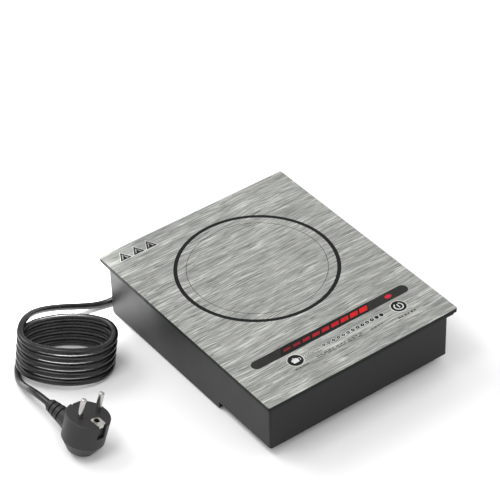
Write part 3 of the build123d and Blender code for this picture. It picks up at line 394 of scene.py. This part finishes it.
def circuit_board(name):
    """Green solder mask with copper tracks showing through as slightly lighter, raised runs."""
    finish = Finish(name, Coat_Weight=0.5, Coat_Roughness=0.2)
    bricks = finish.tree.nodes.new("ShaderNodeTexBrick")
    finish.join(finish.place, bricks.inputs["Vector"])
    bricks.inputs["Scale"].default_value = 90.0
    bricks.inputs["Mortar Size"].default_value = 0.09
    bricks.inputs["Color1"].default_value = (0.010, 0.115, 0.040, 1)
    bricks.inputs["Color2"].default_value = (0.014, 0.150, 0.050, 1)
    bricks.inputs["Mortar"].default_value = (0.035, 0.240, 0.085, 1)
    patch = finish.noise(70.0, detail=4)
    finish.bump(bricks.outputs["Fac"], 0.00006)
    shaded = finish.span(patch, 0.35, 0.65, 0.0, 0.5)
    return finish.use(
        Base_Color=finish.mix(shaded, bricks.outputs["Color"], (0.008, 0.10, 0.035, 1)),
        Roughness=finish.span(patch, 0.3, 0.7, 0.38, 0.5),
    )


def fibrous(name, colour, stretch=(300, 300, 1200)):
    """Felt or pressed mica: a fibrous, dry surface."""
    finish = Finish(name)
    fibres = finish.noise(1.0, detail=6, roughness=0.7, distortion=0.6, place=finish.spread(stretch))
    finish.bump(fibres, 0.0003)
    return finish.use(
        Base_Color=finish.ramp(fibres, (0.3, shade(colour, 0.72)), (0.7, colour)),
        Roughness=finish.span(fibres, 0.3, 0.7, 0.8, 0.95),
    )


# ink lies under the glass surface, so it has the glass's thin coat and little shine of its own
INK_GLOSS = {"Coat_Weight": 0.2, "Coat_Roughness": 0.04, "Specular_IOR_Level": 0.1}


def lit_print(name, colour, strength):
    """Backlit red segment, a little uneven in brightness."""
    finish = Finish(name, Emission_Strength=strength, **INK_GLOSS)
    glow = finish.noise(260.0, detail=2)
    tone = finish.ramp(glow, (0.3, shade(colour, 0.75)), (0.7, colour))
    return finish.use(Base_Color=tone, Emission_Color=tone, Roughness=finish.span(glow, 0.3, 0.7, 0.3, 0.4))


def flat_print(name, colour):
    """Unlit ink with a slight mottle; the black painted shadow ring is made with it too."""
    return moulded(name, colour, 0.35, grain=900.0, relief=0.000004, **INK_GLOSS)


FINISHES = {
    "glass_print": glass_print(),
    "black_flange": moulded("black_flange", (0.006, 0.006, 0.006), 0.45, Specular_IOR_Level=0.25),
    "housing_paint": painted_sheet("housing_paint", (0.007, 0.007, 0.0072), 0.34),
    "seal_silicone": moulded("seal_silicone", (0.02, 0.02, 0.02), 0.7),
    "foot_rubber": moulded("foot_rubber", (0.018, 0.018, 0.018), 0.75, grain=900, relief=0.00008),
    "zinc_steel": metal("zinc_steel", (0.72, 0.73, 0.70), 0.28),
    "black_steel": metal("black_steel", (0.045, 0.045, 0.05), 0.42),
    "litz_copper": wound_copper("litz_copper", (0.78, 0.36, 0.18)),
    "former_plastic": moulded("former_plastic", (0.035, 0.035, 0.038), 0.55),
    "ferrite": moulded("ferrite", (0.055, 0.055, 0.060), 0.62, grain=2200, relief=0.00006),
    "mica": fibrous("mica", (0.50, 0.42, 0.28)),
    "felt": fibrous("felt", (0.83, 0.82, 0.77)),
    "sensor_silicone": moulded("sensor_silicone", (0.75, 0.75, 0.73), 0.55),
    "board_green": circuit_board("board_green"),
    "chip_epoxy": moulded("chip_epoxy", (0.025, 0.025, 0.026), 0.48, grain=2600),
    "aluminium_extrusion": metal("aluminium_extrusion", (0.80, 0.81, 0.82), 0.34, brush=(60, 3000, 3000)),
    "capacitor_grey": moulded("capacitor_grey", (0.33, 0.34, 0.34), 0.42),
    "capacitor_yellow": moulded("capacitor_yellow", (0.72, 0.47, 0.06), 0.36),
    "capacitor_sleeve": moulded("capacitor_sleeve", (0.02, 0.035, 0.14), 0.25),
    "varistor_blue": moulded("varistor_blue", (0.03, 0.13, 0.45), 0.25),
    "fuse_glass": moulded("fuse_glass", (0.75, 0.78, 0.78), 0.10, Transmission_Weight=0.8),
    "terminal_green": moulded("terminal_green", (0.04, 0.30, 0.10), 0.45),
    "brass": metal("brass", (0.80, 0.60, 0.27), 0.27),
    "fan_plastic": moulded("fan_plastic", (0.016, 0.016, 0.017), 0.45),
    "touch_foam": moulded("touch_foam", (0.06, 0.06, 0.06), 0.85, grain=1500, relief=0.0003),
    "lens_clear": moulded("lens_clear", (0.55, 0.05, 0.05), 0.12, Transmission_Weight=0.6),
    "led_red": moulded("led_red", (0.75, 0.03, 0.02), 0.2),
    "ribbon_grey": moulded("ribbon_grey", (0.48, 0.48, 0.46), 0.4),
    "wire_insulation": moulded("wire_insulation", (0.16, 0.06, 0.025), 0.35),
    "earth_green": moulded("earth_green", (0.12, 0.38, 0.05), 0.35),
    "cord_pvc": cord_sheath(),
    "plug_pvc": moulded(
        "plug_pvc", (0.017, 0.0155, 0.016), 0.48, grain=900, relief=0.00005, Specular_IOR_Level=0.4
    ),
    "nickel": metal("nickel", (0.50, 0.49, 0.47), 0.12, brush=(900, 900, 5000)),
}

for part in frame["record"]["subparts"]:
    mesh = NODES[part["node"]].data
    mesh.materials.clear()
    mesh.materials.append(FINISHES[part["material_slot"]])
cord.data.materials.append(FINISHES["cord_pvc"])


# ---- print on the glass, and a painted shadow ring -------------------------------------------

PRINT_T = 0.03
INKS_AND_PAINTED_SHADOW = {
    "charcoal": flat_print("ink_charcoal", (0.0145, 0.0155, 0.0125)),
    "black": flat_print("ink_black", (0.002, 0.002, 0.002)),
    "light": flat_print("ink_light", (0.62, 0.63, 0.61)),
    "grey": flat_print("ink_grey", (0.055, 0.055, 0.052)),
    # painted shadow: this darkest 'ink' is the contact shadow of a kettle's base (the kettle is not built),
    # not a print on the glass
    "ring": flat_print("painted_kettle_shadow", (0.001, 0.001, 0.001)),
}


def ring_of(x, y, radius, count=48, start=0.0, turn=360.0):
    """Points of a circle or arc, in degrees, anticlockwise from +X."""
    points = count + 1 if turn < 360 else count
    angles = [math.radians(start + turn * i / count) for i in range(points)]
    return [(x + radius * math.cos(angle), y + radius * math.sin(angle)) for angle in angles]


def arc_band(x, y, outer, inner, start, turn):
    """A closed outline between two arcs."""
    return ring_of(x, y, outer, 40, start, turn) + ring_of(x, y, inner, 40, start, turn)[::-1]


def stadium(left, right, low, high):
    """A bar with full-round ends."""
    radius, middle = (high - low) / 2, (high + low) / 2
    right_end = ring_of(right - radius, middle, radius, 16, -90, 180)
    left_end = ring_of(left + radius, middle, radius, 16, 90, 180)
    return right_end + left_end


def bar(x, y, length, width):
    """A bar that starts at x and is centred on y."""
    return [(x, y - width / 2), (x + length, y - width / 2), (x + length, y + width / 2), (x, y + width / 2)]


def print_on_glass(name, outlines, ink, layer=1):
    """A thin closed layer of ink on the glass; an outline inside another cuts a hole."""
    curve = bpy.data.curves.new(name, "CURVE")
    curve.dimensions = "2D"
    curve.fill_mode = "BOTH"
    curve.extrude = PRINT_T * MM / 2
    for outline in outlines:
        line = curve.splines.new("POLY")
        line.points.add(len(outline) - 1)
        for control, (x, y) in zip(line.points, outline):
            control.co = (x * MM, y * MM, 0, 1)
        line.use_cyclic_u = True
    shape = bpy.data.objects.new(name + "_curve", curve)
    mesh = bpy.data.meshes.new_from_object(shape)
    mesh.name = name
    bpy.data.objects.remove(shape)
    height = GLASS_TOP + (layer - 0.6) * PRINT_T * MM
    mesh.transform(Matrix.Translation((0, 0, height)))
    mesh.materials.clear()
    mesh.materials.append(ink)
    piece = bpy.data.objects.new(name, mesh)
    bpy.context.scene.collection.objects.link(piece)
    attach(piece, "chassis")
    return piece


SLIDER_LEFT, SLIDER_RIGHT, SLIDER_LOW, SLIDER_HIGH = -79.4, 81.9, -78.5, -68.4
SLIDER_Y = (SLIDER_LOW + SLIDER_HIGH) / 2
WINDOW_LEFT, WINDOW_RIGHT, WINDOW_SLANT = -50.5, 40.6, 0.66
SEGMENTS, SEGMENT_FIRST, SEGMENT_LAST = 9, -43.9, 35.3
DOT_X, DOT_HALF_LENGTH, DOT_HALF_WIDTH = 61.7, 3.4, 2.1
LEVELS, LEVEL_FIRST, LEVEL_LAST, LEVEL_Y = 17, -37.5, 42.5, -88.0
LEVEL_R, LEVEL_GROWTH, LEVEL_HALO, FAINT_LEVELS = 1.25, 0.045, 0.35, 4


def slanted(x, y, length, width):
    """A bar whose ends lean to the right."""
    lean = WINDOW_SLANT * width / 2
    low, high = y - width / 2, y + width / 2
    left, right = x - length / 2, x + length / 2
    return [(left - lean, low), (right - lean, low), (right + lean, high), (left + lean, high)]


def make_slider():
    """The slider's dark bar, its display window, and the lit segments that grow to the right."""
    slider = stadium(SLIDER_LEFT, SLIDER_RIGHT, SLIDER_LOW, SLIDER_HIGH)
    print_on_glass("slider_bar", [slider], INKS_AND_PAINTED_SHADOW["charcoal"])
    window_mid, window_length = (WINDOW_LEFT + WINDOW_RIGHT) / 2, WINDOW_RIGHT - WINDOW_LEFT
    window = slanted(window_mid, SLIDER_Y, window_length, SLIDER_HIGH - SLIDER_LOW)
    print_on_glass("display_window", [window], INKS_AND_PAINTED_SHADOW["black"], layer=2)
    for i in range(SEGMENTS):
        share = i / (SEGMENTS - 1)
        x = SEGMENT_FIRST + (SEGMENT_LAST - SEGMENT_FIRST) * share
        outline = slanted(x, SLIDER_Y, 7.0 + 1.2 * share, 2.3 + 2.7 * share)
        colour = (0.17 + 0.17 * share, 0.002, 0.010 - 0.008 * share)
        ink = lit_print(f"lit_red_{i + 1}", colour, 0.25 + 0.75 * share)
        print_on_glass(f"lit_segment_{i + 1}", [outline], ink, layer=3)
    turns = [i / 24 * math.tau for i in range(24)]
    dot = [(DOT_X + DOT_HALF_LENGTH * math.cos(t), SLIDER_Y + DOT_HALF_WIDTH * math.sin(t)) for t in turns]
    ink = lit_print("lit_red_dot", (0.36, 0.006, 0.02), 0.8)
    print_on_glass("lit_dot", [dot], ink, layer=2)


KEY_DISC_R, KEY_RIM_OUTER, KEY_RIM_INNER = 6.5, 7.4, 7.0


def make_key(name, x, y, symbol):
    """A black disc with a light symbol on it and a thin light rim round it."""
    print_on_glass(f"{name}_disc", [ring_of(x, y, KEY_DISC_R)], INKS_AND_PAINTED_SHADOW["black"])
    print_on_glass(f"{name}_symbol", symbol, INKS_AND_PAINTED_SHADOW["light"], layer=2)
    rim = [ring_of(x, y, KEY_RIM_OUTER), ring_of(x, y, KEY_RIM_INNER)]
    print_on_glass(f"{name}_rim", rim, INKS_AND_PAINTED_SHADOW["light"])


def make_power_key(x=60.7, y=-88.4):
    """The key with an open ring and a stroke."""
    make_key("power_key", x, y, [arc_band(x, y, 4.3, 3.3, 115, 310), bar(x - 0.5, y + 0.4, 1.0, 4.6)])


def make_function_key(x=-46.7, y=-88.3):
    """The key with a plain pot: its body, lid, knob and handle."""
    body = [(x - 3.0, y - 2.8), (x + 2.2, y - 2.8), (x + 2.9, y + 1.2), (x - 3.7, y + 1.2)]
    lid = bar(x - 2.6, y + 1.8, 4.4, 0.8)
    knob = bar(x - 0.9, y + 2.9, 1.0, 0.9)
    handle = arc_band(x + 3.1, y - 0.4, 1.7, 1.1, -80, 150)
    make_key("function_key", x, y, [body, lid, knob, handle])


def rule_row(x, y, pitch, width, lengths):
    """Short plain rules in a row, in place of a caption."""
    return [bar(x + pitch * i, y, length, width) for i, length in enumerate(lengths)]


def make_level_marks():
    """The row of level rings under the slider, bolder to the right; the last two have no centre."""
    spots = []
    for i in range(LEVELS):
        x = LEVEL_FIRST + (LEVEL_LAST - LEVEL_FIRST) * i / (LEVELS - 1)
        spots.append((x, LEVEL_Y, LEVEL_R + LEVEL_GROWTH * i))
    halos = [ring_of(x, y, radius + LEVEL_HALO, 24) for x, y, radius in spots]
    print_on_glass("level_halos", halos, INKS_AND_PAINTED_SHADOW["light"])
    faint, bold = spots[:FAINT_LEVELS], spots[FAINT_LEVELS:]
    rings = [ring_of(x, y, radius, 24) for x, y, radius in faint]
    rings += [ring_of(x, y, 0.62, 16) for x, y, _ in faint]
    print_on_glass("level_rings_faint", rings, INKS_AND_PAINTED_SHADOW["grey"], layer=2)
    discs = [ring_of(x, y, radius, 24) for x, y, radius in bold]
    print_on_glass("level_rings", discs, INKS_AND_PAINTED_SHADOW["black"], layer=2)
    centres = [ring_of(x, y, 0.42, 12) for x, y, _ in bold[:-2]]
    print_on_glass("level_centres", centres, INKS_AND_PAINTED_SHADOW["light"], layer=3)


def make_caption_rules():
    """Plain rules under the level rings and the keys, where captions would be."""
    rules = rule_row(-31.0, -95.4, 4.0, 0.9, [3.3 - 1.2 * (i % 3 == 1) for i in range(12)])
    rules += rule_row(-31.0, -97.3, 5.2, 0.7, [4.4 - 1.6 * (i % 2) for i in range(9)])
    rules += rule_row(24.0, -96.6, 3.6, 0.9, [2.9] * 4)
    rules += rule_row(-54.0, -97.6, 3.6, 1.1, [3.0] * 4)
    rules += rule_row(50.6, -100.2, 3.3, 1.7, [2.6 - 0.7 * (i % 2) for i in range(6)])
    print_on_glass("caption_rules", rules, INKS_AND_PAINTED_SHADOW["grey"])


# left, right, low and high sides of each triangle
TRIANGLES = ((-86.0, -75.0, 103.0, 113.4), (-72.4, -61.4, 103.0, 113.2), (-59.4, -48.6, 102.8, 113.2))


def make_triangles():
    """Three plain triangles near the rear-left corner: a light rim, a black outline and a black core."""
    for number, (left, right, low, high) in enumerate(TRIANGLES, 1):
        middle, rise = (left + right) / 2, high - low
        rim = [(left - 0.9, low - 0.5), (right + 0.9, low - 0.5), (middle, high + 0.9)]
        outer = [(left, low), (right, low), (middle, high)]
        inner = [(left + 2.3, low + 1.3), (right - 2.3, low + 1.3), (middle, high - 2.6)]
        core = [(middle - 2.3, low + 1.3), (middle + 1.4, low + 1.3), (middle + 0.5, low + 0.6 * rise)]
        print_on_glass(f"triangle_{number}_rim", [rim, outer], INKS_AND_PAINTED_SHADOW["light"])
        print_on_glass(f"triangle_{number}", [outer, inner], INKS_AND_PAINTED_SHADOW["black"])
        print_on_glass(f"triangle_{number}_core", [core], INKS_AND_PAINTED_SHADOW["black"])


# radii of the painted shadow ring under a kettle's base, and of the printed zone line inside it
KETTLE_SHADOW_RING = (71.0, 67.6)
ZONE_LINE = (60.4, 59.9)
ZONE_POINTS = 144


def make_kettle_shadow_and_zone_line(x=0.0, y=25.0):
    """A painted shadow: a black ring where the base of a kettle, which is not built, would stand; inside it
    the cooking zone's fine printed line.
    """
    print_on_glass("kettle_shadow_ring", [ring_of(x, y, radius, ZONE_POINTS) for radius in KETTLE_SHADOW_RING], INKS_AND_PAINTED_SHADOW["ring"])
    print_on_glass("zone_line", [ring_of(x, y, radius, ZONE_POINTS) for radius in ZONE_LINE], INKS_AND_PAINTED_SHADOW["grey"])


make_slider()
make_power_key()
make_function_key()
make_level_marks()
make_caption_rules()
make_triangles()
make_kettle_shadow_and_zone_line()


# ---- studio ----------------------------------------------------------------------------------

FLOOR_HALF = 4.0
FLOOR_Z = -0.0002
WORLD_STRENGTH = 0.9
# name, place, target, size in metres, energy in watts
LAMPS = (
    ("key", (-0.65, 1.25, 1.6), (0, 0, 0), 1.0, 14),
    ("front", (-0.5, -1.3, 1.7), (-0.1, 0, 0), 0.35, 3.0),
    ("left", (-0.42, -0.04, 0.9), (-0.28, 0.0, 0), 0.3, 2.2),
)


def make_floor():
    mesh = bpy.data.meshes.new("floor")
    shape = bmesh.new()
    bmesh.ops.create_grid(shape, x_segments=8, y_segments=8, size=FLOOR_HALF)
    bmesh.ops.translate(shape, verts=shape.verts, vec=(0, 0, FLOOR_Z))
    shape.to_mesh(mesh)
    shape.free()
    floor = bpy.data.objects.new("floor", mesh)
    bpy.context.scene.collection.objects.link(floor)
    finish = Finish("floor_white")
    mottle = finish.noise(3.0, detail=2)
    mesh.materials.append(finish.use(
        Base_Color=finish.ramp(mottle, (0.3, (0.90, 0.90, 0.90)), (0.7, (0.92, 0.92, 0.92))),
        Roughness=finish.span(mottle, 0.3, 0.7, 0.62, 0.7),
    ))


def make_light(name, spot, target, size, energy):
    """A square soft light that looks at target."""
    light = bpy.data.lights.new(name, "AREA")
    light.size = size
    light.energy = energy
    lamp = bpy.data.objects.new(name, light)
    lamp.location = spot
    lamp.rotation_euler = (Vector(spot) - Vector(target)).to_track_quat("Z", "Y").to_euler()
    bpy.context.scene.collection.objects.link(lamp)


def make_pool(spot=(-0.14, 0.18, 0.5), radius_deg=12.5, energy=44.0):
    """A soft pool of light on the floor behind the rear-left corner, which the left wall mirrors."""
    light = bpy.data.lights.new("pool", "SPOT")
    light.spot_size = math.radians(2 * radius_deg)
    light.spot_blend = 1.0
    light.shadow_soft_size = 0.02
    light.energy = energy
    lamp = bpy.data.objects.new("pool", light)
    lamp.location = spot
    bpy.context.scene.collection.objects.link(lamp)


def make_studio():
    make_floor()
    world = bpy.data.worlds.new("studio")
    world.use_nodes = True
    background = world.node_tree.nodes["Background"]
    background.inputs["Color"].default_value = (1, 1, 1, 1)
    background.inputs["Strength"].default_value = WORLD_STRENGTH
    bpy.context.scene.world = world
    for lamp in LAMPS:
        make_light(*lamp)
    make_pool()
    bpy.context.scene.view_settings.view_transform = "Standard"


make_studio()
